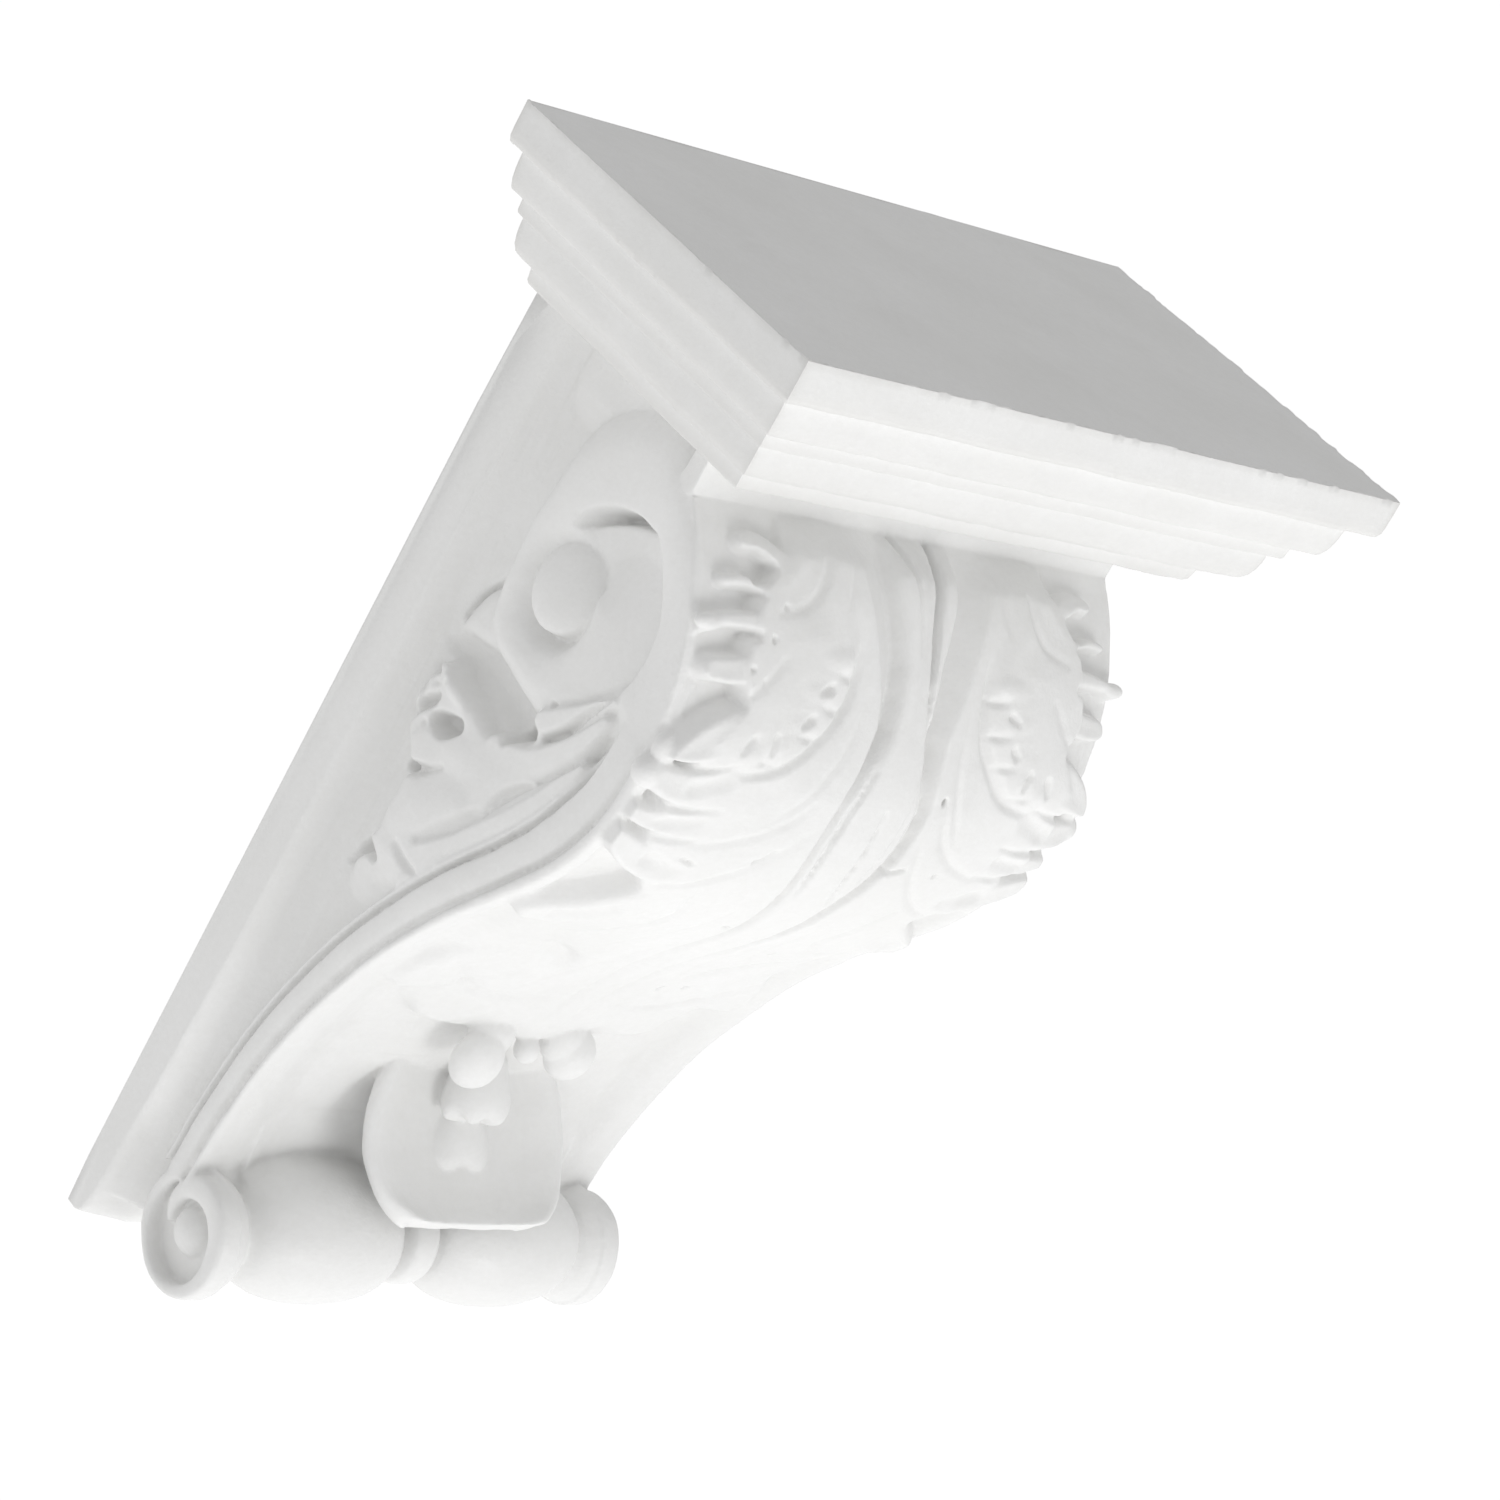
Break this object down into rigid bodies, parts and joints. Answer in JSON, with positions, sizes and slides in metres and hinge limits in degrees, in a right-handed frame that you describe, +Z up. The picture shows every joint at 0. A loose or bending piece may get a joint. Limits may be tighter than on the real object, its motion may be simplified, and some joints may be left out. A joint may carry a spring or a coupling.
{
  "type": "corbel",
  "caption": "Cast plaster corbel: a moulded square-edged shelf on an S-shaped scrolled body with an acanthus leaf, reeded side bands and a turned roll at the foot.",
  "frame": {"origin": "the middle of the flat back that lies on the wall, halfway up the corbel and halfway across it", "axes": "+Z up, +Y into the wall, so the corbel comes out towards -Y; X across the corbel"},
  "size_m": [0.25, 0.141, 0.384],
  "materials": {
    "plaster": "smooth cast plaster, painted white, satin"
  },
  "bodies": {
    "root": {"corbel": "plaster"}
  },
  "joints": []
}
